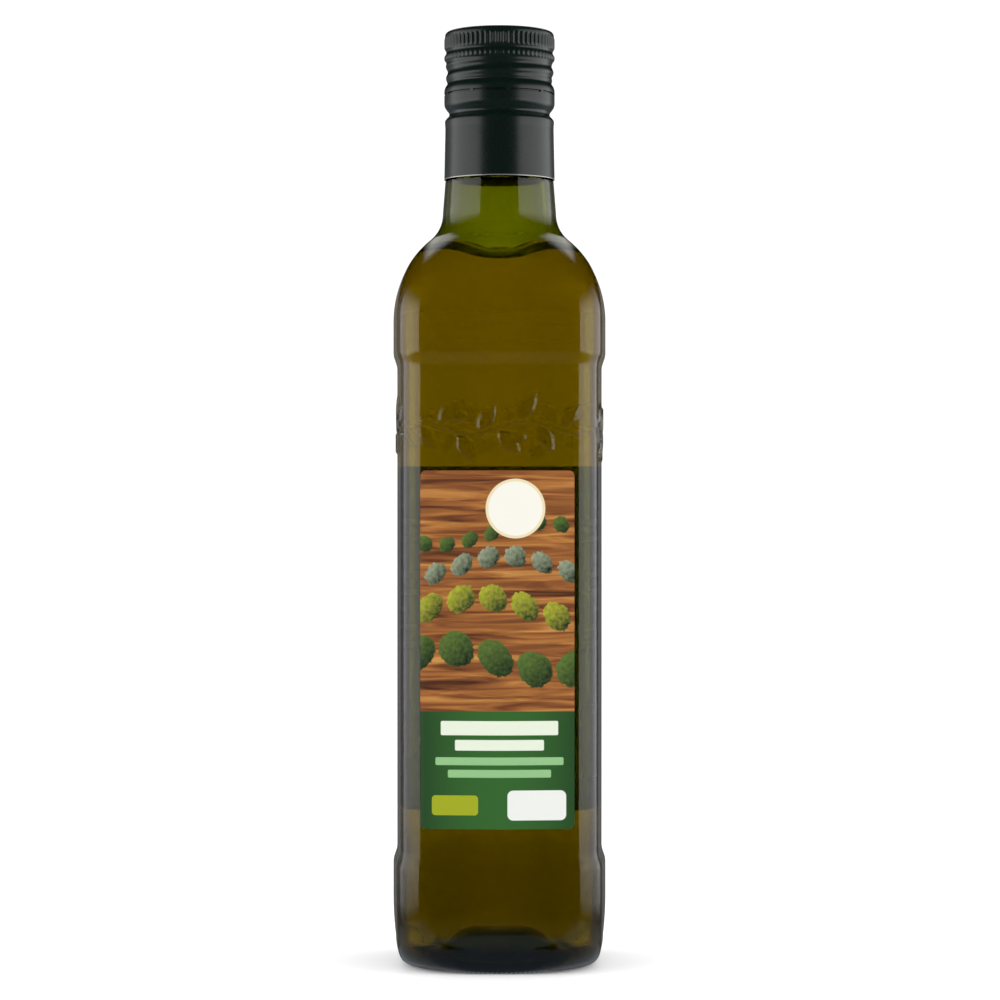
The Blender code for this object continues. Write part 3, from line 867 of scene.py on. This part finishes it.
# %% The closure, from its top down the outside and up the inside
CLOSURE_COLUMNS = 6 * KNURLS


def closure_outside(angle, half, height):
    fluted = half + flutes(angle, height, *KNURLING) + flutes(angle, height, *NICKS)
    return fluted + thread(angle, height) + slit(angle, height), height


cup_inside = [(half - CLOSURE_WALL, height) for half, height in (SKIRT_BOTTOM, SKIRT_MIDDLE)]
cup_inside += [(CLOSURE_INSIDE, TURN_IN), (CLOSURE_INSIDE, CLOSURE_CEILING), (HUB, CLOSURE_CEILING)]
closure_rings = rings(slitted_outline(), closure_outside, CLOSURE_COLUMNS)
closure_rings += rings(cup_inside, circle, CLOSURE_COLUMNS)
closure = loft("metal_closure", closure_rings, CLOSURE_TOP, CLOSURE_CEILING)
# The rings ran from the top down, so the faces have to be turned outwards
closure.data.flip_normals()

# %% [markdown]
# ## Lacquered aluminium
# The closure is coated before it is cut, so the colour runs over every bend, and bare metal shows only
# at the cut edge of the skirt. The lacquer is satin: a fine grain in the bump spreads the light into broad
# upright bands, and its gloss varies a little. The bare edge could be a piece of its own, but the height
# tells where it is. Inside, the cup is painted dark and dull, with no shine: painted shade for the shadow
# inside the skirt, as a bright lining would shine through the neck.

# %% Lacquered aluminium
LACQUER = linear(4, 19, 14)
BARE_METAL = linear(205, 205, 200)
# Height of the bare edge in millimetres
CUT_EDGE = 0.28
GRAINS_PER_METRE = 2600.0
GRAIN_DEPTH = 0.012 * MM
CLOUDS_PER_METRE = 160.0
SATIN, CLOUDED = 0.24, 0.08

lacquer = Paint(bpy.data.materials.new("dark_green_lacquer"))
height_up = lacquer.place()[2]
cut = (1.0 - (height_up - SKIRT_BOTTOM[1] / MM) / CUT_EDGE).clamped()
grain = lacquer.noise(GRAINS_PER_METRE, 2.0)
cloud = lacquer.noise(CLOUDS_PER_METRE, 3.0)
lacquer.set(Base_Color=lacquer.mix(cut, LACQUER, BARE_METAL), Metallic=cut)
lacquer.set(Roughness=SATIN + CLOUDED * cloud)
lacquer.set(Normal=lacquer.bump(grain, GRAIN_DEPTH), Specular_IOR_Level=0.5)
lacquer.cover(closure)

# %% Dark lining, painted as shade
SHADED_LINING_COLOURS = (linear(6, 14, 11), linear(12, 22, 18))
SPECKLES_PER_METRE = 400.0
INWARDS = -1e-6

# The inside is painted nearly black and without shine, as painted shade; the speckle only varies its tone.
shaded_lining = Paint(bpy.data.materials.new("dark_lining_painted_shade"))
speckle = shaded_lining.noise(SPECKLES_PER_METRE, 2.0)
shaded_lining.set(Base_Color=shaded_lining.mix(speckle, *SHADED_LINING_COLOURS), Roughness=0.9, Specular_IOR_Level=0.0)
shaded_lining.cover(closure)
for face in closure.data.polygons:
    away_from_axis = face.normal.x * face.center.x + face.normal.y * face.center.y
    if away_from_axis < INWARDS and face.center.z > SKIRT_BOTTOM[1]:
        face.material_index = 1
print("closure faces on the inside:", sum(face.material_index for face in closure.data.polygons))
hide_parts("closure")
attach(closure, "root")

# %% [markdown]
# ## The labels
# A label is a sheet of coated paper, glued flat to the panel, so it takes the panel's slight bow. It has
# round corners and a thin edge. A plane with a picture on it would be the usual way. Here it is a thin
# solid whose back lies just in the glass, so that no air gap shines behind it.

# %% Sizes of the labels
LABEL_HALF, LABEL_ROUND, LABEL_THICK, LABEL_IN_GLASS = mm(21.7, 1.5, 0.11, 0.02)
# Heights of their lower and upper edges, and how far the front one is off the middle
FRONT_LABEL = mm(40.9, 141.7)
BACK_LABEL = mm(41.7, 143.2)
FRONT_ASIDE = -0.6 * MM
# Steps along the middle, a corner and the height
LABEL_COLUMNS = 56
CORNER_STEPS = 6
LABEL_ROWS = 3
LABEL_SHARP_ANGLE = 40.0
# Rounds of closing in on the angle at a given distance across
ROUNDS = 4


# %% Label sheets
def panel_point(across, height, lift, facing):
    """A point over the panel's face: facing is -1 for the front and 1 for the back."""
    angle = atan(across / PANEL_HALF)
    for _ in range(ROUNDS):
        reach = section_radius(angle, PANEL_HALF, PANEL_CORNER, SIDE_BOW)
        angle = asin(across / reach)
    return (-facing * across, facing * (reach * cos(angle) + lift), height)


def label_columns():
    """Where the columns of points are, from edge to edge, closer together at the round corners."""
    edge = LABEL_HALF - LABEL_ROUND
    corner = [LABEL_ROUND * sin(0.5 * pi * share) + edge for share in shares(CORNER_STEPS)]
    middle = [edge * (2.0 * share - 1.0) for share in shares(LABEL_COLUMNS)[1:-1]]
    return [-across for across in reversed(corner)] + middle + corner


def label_faces(width, tall):
    """The faces of the back and the front, and a strip all round between their rims."""
    back = width * tall
    faces = []
    for a in [i * tall + j for i in range(width - 1) for j in range(tall - 1)]:
        faces.append((a, a + 1, a + tall + 1, a + tall))
        faces.append((back + a, back + a + tall, back + a + tall + 1, back + a + 1))
    rim = [i * tall for i in range(width - 1)]
    rim += [(width - 1) * tall + j for j in range(tall - 1)]
    rim += [i * tall + tall - 1 for i in range(width - 1, 0, -1)]
    rim += list(range(tall - 1, 0, -1))
    return faces + [(a, b, back + b, back + a) for a, b in zip(rim, rim[1:] + rim[:1])]


def make_label(name, span, aside, facing):
    """A thin closed sheet with round corners."""
    points = []
    for lift in (-LABEL_IN_GLASS, LABEL_THICK):
        for across in label_columns():
            into = max(0.0, (abs(across) - LABEL_HALF + LABEL_ROUND) / LABEL_ROUND)
            drop = LABEL_ROUND * (1.0 - sqrt(max(0.0, 1.0 - into * into)))
            low, high = span[0] + drop, span[1] - drop
            points += [panel_point(across + aside, low + (high - low) * share, lift, facing)
                       for share in shares(LABEL_ROWS)]
    faces = label_faces(len(label_columns()), LABEL_ROWS + 1)
    label = smooth_mesh(name, points, faces, LABEL_SHARP_ANGLE)
    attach(label, "root")
    print(name, round(2 * LABEL_HALF / MM, 1), "by", round((span[1] - span[0]) / MM, 1), "mm")
    return label


front_label = make_label("front_paper_label", FRONT_LABEL, FRONT_ASIDE, -1)
back_label = make_label("back_paper_label", BACK_LABEL, 0.0, 1)
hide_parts("front_label")
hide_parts("back_label")

# %% [markdown]
# ## What is printed on them
# The print is a plain design of this file's own: a warm hillside with rows of round trees under a pale
# disc, over a green field with plain bars. It could come from a picture file. Here each shape is a distance
# formula: where the distance is below zero, the ink is on. Edges are then sharp at any size, and no
# picture is needed. All sizes below are in millimetres.

# %% Shapes as distances
EDGE_SOFTNESS = 0.12
FIBRES_PER_MM = 3.0
FIBRE_DEPTH = 0.01 * MM


class Drawing(Paint):
    """A printed paper: shapes in millimetres over the label, laid one over another."""

    def __init__(self, name, facing):
        super().__init__(bpy.data.materials.new(name))
        across, _, self.up = self.place()
        self.across = across * float(-facing)
        self.ink = WHITE

    def flat_place(self, stretch=(1.0, 1.0)):
        parts = {0: self.across * stretch[0], 1: self.up * stretch[1], 2: 0.0}
        return self.node("CombineXYZ", inputs=parts)

    def fibre(self):
        return self.noise(FIBRES_PER_MM, 3.0, self.flat_place())

    def box(self, middle, size, corner):
        x = (abs(self.across - middle[0]) - (0.5 * size[0] - corner)).at_least(0.0)
        y = (abs(self.up - middle[1]) - (0.5 * size[1] - corner)).at_least(0.0)
        return (x * x + y * y) ** 0.5 - corner

    def disc(self, middle, radius):
        x = self.across - middle[0]
        y = self.up - middle[1]
        return (x * x + y * y) ** 0.5 - radius

    def lay(self, distance, colour, soft=EDGE_SOFTNESS):
        """Lays ink where the distance is below zero."""
        self.ink = self.mix((0.5 - distance / soft).clamped(), self.ink, colour)


# %% The hillside
EARTH = [(0.28, linear(66, 34, 14)), (0.42, linear(112, 62, 25)),
         (0.58, linear(146, 90, 36)), (0.76, linear(178, 126, 60))]
FURROW_STRETCH = (0.035, 0.5)
FURROW_BEND = 0.6

front = Drawing("front_print", -1)
furrows = front.noise(1.0, 5.0, front.flat_place(FURROW_STRETCH), "2D", Distortion=FURROW_BEND)
front.ink = front.node("ValToRGB", {"stops": EARTH}, {"Fac": furrows})
print("colours of the earth:", len(EARTH))

# %% Rows of round trees on the hillside
OLD_LEAF, YOUNG_LEAF = linear(18, 36, 16), linear(80, 104, 38)
SILVER_LEAF, YELLOW_LEAF = linear(132, 140, 114), linear(152, 154, 34)
# How high the rows wave, and how often
HILL = 3.2
HILL_WAVE = 0.11
# How uneven and how soft a crown's edge is, and how light falls on it
RAGGED = 1.6
CROWN_SOFTNESS = 0.25
CROWN_LIGHT = 0.32
LEAF_CONTRAST = 0.9
LEAF_STRETCH = (0.9, 0.9)
# Each row's height, spacing, radius of the trees, shift sideways and lit colour
TREE_ROWS = ((124.0, 6.4, 2.3, 0.3, YOUNG_LEAF), (114.5, 7.5, 3.0, 1.4, SILVER_LEAF),
             (103.0, 9.0, 3.9, 2.2, YELLOW_LEAF), (88.5, 11.0, 5.0, 3.1, YOUNG_LEAF))


def tree_row(drawing, base, spacing, radius, shift, light):
    """A row of round crowns, each lighter at its upper left, on a line that waves like a hill."""
    line = base + HILL * (drawing.across * HILL_WAVE + shift).sine()
    cell = (drawing.across + shift * spacing).wrapped(0.5 * spacing, -0.5 * spacing)
    rise = drawing.up - line
    leafy = drawing.noise(1.0, 3.0, drawing.flat_place(LEAF_STRETCH), "2D") - 0.5
    distance = (cell * cell + rise * rise) ** 0.5 - radius - RAGGED * leafy
    lit = (0.5 + (rise - cell) * (CROWN_LIGHT / radius) + leafy * LEAF_CONTRAST).clamped()
    drawing.lay(distance, drawing.mix(lit, OLD_LEAF, light), CROWN_SOFTNESS)


for row in TREE_ROWS:
    tree_row(front, *row)
print("rows of trees:", len(TREE_ROWS))

# %% The pale disc
DISC_MIDDLE = (4.5, 131.0)
front.lay(front.disc(DISC_MIDDLE, 8.4), linear(206, 194, 158))
front.lay(front.disc(DISC_MIDDLE, 7.6), linear(214, 212, 202))

# %% The green field and its bars
FIELD_TOP = 74.0
FIELD_SHADE = 0.046
FIELD_MIDDLE, FIELD_SIDES = linear(42, 92, 34), linear(30, 66, 28)
PALE_INK, SOFT_INK = linear(202, 210, 192), linear(128, 172, 118)
# Each bar's or panel's middle, size, radius of the corners, and ink
BARS = (((0.0, 69.3), (33.0, 4.0), 0.4, PALE_INK), ((0.0, 64.5), (25.0, 3.0), 0.4, PALE_INK),
        ((0.0, 60.0), (36.0, 2.2), 0.4, SOFT_INK), ((0.0, 56.5), (29.0, 2.2), 0.4, SOFT_INK),
        ((10.5, 47.6), (16.5, 8.4), 1.6, linear(208, 210, 205)),
        ((-12.5, 47.6), (13.0, 5.6), 1.0, linear(142, 150, 8)))

shade = ((front.across * FIELD_SHADE) ** 2.0).clamped()
front.lay(front.up - FIELD_TOP, front.mix(shade, FIELD_MIDDLE, FIELD_SIDES))
for middle, size, corner, ink in BARS:
    front.lay(front.box(middle, size, corner), ink)
print("bars and panels:", len(BARS))

# %% The front paper
FRONT_COAT, FURROWED = 0.34, 0.12
front.set(Base_Color=front.ink, Roughness=FRONT_COAT + FURROWED * furrows)
front.set(Specular_IOR_Level=0.3, Normal=front.bump(front.fibre(), FIBRE_DEPTH))
front.cover(front_label)

# %% The back print
BACK_COAT, FIBROUS = 0.36, 0.1
BACK_PANEL = ((0.0, 92.5), (38.0, 94.0), 2.0)
SMALL_PANEL = ((-7.0, 62.0), (17.0, 22.0), 1.2)
LINES = 9
LINE_TOP, LINE_SPACE = 132.0, 5.2
LINE_HEIGHT, LINE_CORNER = 1.7, 0.3
# Every third line is short
LONG_LINE, SHORT_LINE = 32.0, 24.0

back = Drawing("back_print", 1)
back.ink = linear(36, 82, 40)
back.lay(back.box(*BACK_PANEL), linear(44, 100, 48))
for number in range(LINES):
    size = (LONG_LINE if number % 3 else SHORT_LINE, LINE_HEIGHT)
    back.lay(back.box((0.0, LINE_TOP - LINE_SPACE * number), size, LINE_CORNER), SOFT_INK)
back.lay(back.box(*SMALL_PANEL), linear(236, 238, 232))
back.lay(back.disc((11.0, 62.0), 5.4), YELLOW_LEAF)
back_fibre = back.fibre()
back.set(Base_Color=back.ink, Roughness=BACK_COAT + FIBROUS * back_fibre)
back.set(Normal=back.bump(back_fibre, FIBRE_DEPTH))
back.cover(back_label)
print("lines on the back:", LINES)

# %% [markdown]
# ## Floor and light
# Dark glass is shot against white: the light that comes through the bottle shows its colour. But a white
# room mirrored in the glass would veil it. A studio hangs black cards round the bottle. Here the world
# asks what kind of ray comes: it is plain white to the camera and to light through the glass, and a dim
# room to rays that the glass mirrors. Two tall soft boxes draw an upright band on each side, and a card
# by the foot, which only reflections see, lights the heel as a pale table would. The floor glows a
# little, so that it stays pale near the foot.

# %% Floor
FLOOR_HALF = 60.0
FLOOR_GLOW = 0.08
FLOOR_COLOUR = linear(251, 251, 251)
# The floor lies this far below the foot, and the card as far above
HAIR = 0.0002


def level_sheet(name, low, high, level):
    """A level rectangle between two corners, each given as (across, deep)."""
    mesh = bpy.data.meshes.new(name)
    (left, near), (right, far) = low, high
    corners = [(left, near, 0.0), (right, near, 0.0), (right, far, 0.0), (left, far, 0.0)]
    mesh.from_pydata(corners, [], [(0, 1, 2, 3)])
    sheet = add_object(name, mesh)
    sheet.location.z = level
    return sheet


floor = level_sheet("floor", (-FLOOR_HALF, -FLOOR_HALF), (FLOOR_HALF, FLOOR_HALF), -HAIR)
floor_paint = Paint(bpy.data.materials.new("pale_floor"))
floor_paint.set(Base_Color=FLOOR_COLOUR, Roughness=0.9, Specular_IOR_Level=0.1)
floor_paint.set(Emission_Color=WHITE, Emission_Strength=FLOOR_GLOW)
floor_paint.cover(floor)
floor.visible_glossy = False

# %% A card in front of the foot, that only reflections see
CARD_LOW, CARD_HIGH = (-0.06, -0.065), (0.06, -0.026)
CARD_LIGHT = (0.19, 0.24, 0.29, 1.0)

card = level_sheet("card", CARD_LOW, CARD_HIGH, HAIR)
card_paint = Paint(bpy.data.materials.new("card"))
card_paint.set(Base_Color=BLACK, Specular_IOR_Level=0.0)
card_paint.set(Emission_Color=CARD_LIGHT, Emission_Strength=1.0)
card_paint.cover(card)
card.visible_camera = card.visible_diffuse = card.visible_transmission = card.visible_shadow = False

# %% The world as the glass mirrors it
WORLD_STRENGTH = 1.1
# A direction's parts run from -1 to 1, and each pair is where a fade starts and ends
BACKDROP = 0.15
BACKDROP_AHEAD = (-0.1, 0.4)
BACKDROP_FOOT = (-0.25, -0.1)
BACKDROP_HEAD = (0.25, 0.08)
OVERHEAD = 1.1
OVERHEAD_AHEAD = (0.5, 0.7)
OVERHEAD_UP = (0.2, 0.35)
OVERHEAD_SLANT = 1.35
OVERHEAD_EDGE = (0.0, 0.1)
TABLE_FRONT, TABLE_SIDE = 0.08, 0.3
TABLE_DOWN = (-0.15, -0.35)
TABLE_AHEAD = (-0.4, 0.2)
TABLE_TINT = (0.85, 0.97, 1.1, 1.0)

world = bpy.data.worlds.new("studio")
bpy.context.scene.world = world
sky = Paint(world, "Background")
aside, ahead, above = sky.axes(sky.node("TexCoord", output="Generated"))
backdrop = BACKDROP * sky.fade(ahead, *BACKDROP_AHEAD)
backdrop = backdrop * sky.fade(above, *BACKDROP_FOOT) * sky.fade(above, *BACKDROP_HEAD)
overhead = OVERHEAD * sky.fade(ahead, *OVERHEAD_AHEAD) * sky.fade(above, *OVERHEAD_UP)
overhead = overhead * sky.fade(above - OVERHEAD_SLANT * abs(aside), *OVERHEAD_EDGE)
table = sky.fade(above, *TABLE_DOWN)
table_light = TABLE_FRONT + (TABLE_SIDE - TABLE_FRONT) * sky.fade(ahead, *TABLE_AHEAD)
room = backdrop + overhead + table * table_light

# %% The world
ray = sky.node("LightPath", output="Is Glossy Ray")
mirrored = ray * (1.0 - ray.output("Is Transmission Ray"))
sky.set(Color=sky.mix(mirrored * table, WHITE, TABLE_TINT))
sky.set(Strength=WORLD_STRENGTH * (1.0 - mirrored) + mirrored * room)
bpy.context.scene.view_settings.view_transform = "Standard"
print("the world has", len(sky.tree.nodes), "nodes")

# %% Soft boxes
BOX_AWAY = 0.7
BOX_LONG = 1.7
BOX_FROM, BOX_TO = -0.22, 0.8
# Lengths over which a box fades in from below and out at its top
BOX_FADES = (0.28, 0.56)
BOX_RADIANCE = 1.9
# Each is full up to a place along Y, and then dims to this share over this length
BOX_DIM = 0.12
BOX_TURN = 0.2
FULL_TO_LEFT, FULL_TO_RIGHT = 0.3, 0.5


def soft_box(name, side, full_to):
    """An upright light along one side of the set, that the camera doesn't see."""
    data = bpy.data.lights.new(name, "AREA")
    data.shape = "RECTANGLE"
    data.size, data.size_y = BOX_LONG, BOX_TO - BOX_FROM
    data.energy = BOX_RADIANCE * pi * data.size * data.size_y
    paint = Paint(data, "Emission")
    _, deep, up = paint.axes(paint.node("NewGeometry", output="Position"))
    tall = paint.fade(up, BOX_FROM, BOX_FROM + BOX_FADES[0]) * paint.fade(up, BOX_TO, BOX_TO - BOX_FADES[1])
    near = paint.fade(deep, full_to + BOX_TURN, full_to)
    paint.set(Strength=tall * (BOX_DIM + (1.0 - BOX_DIM) * near))
    light = add_object(name, data)
    light.location = (side * BOX_AWAY, 0.0, 0.5 * (BOX_FROM + BOX_TO))
    light.rotation_euler = (pi / 2, 0.0, side * pi / 2)
    light.visible_camera = False
    print(name, "shines with", round(data.energy, 1), "W")


soft_box("soft_box_left", -1, FULL_TO_LEFT)
soft_box("soft_box_right", 1, FULL_TO_RIGHT)
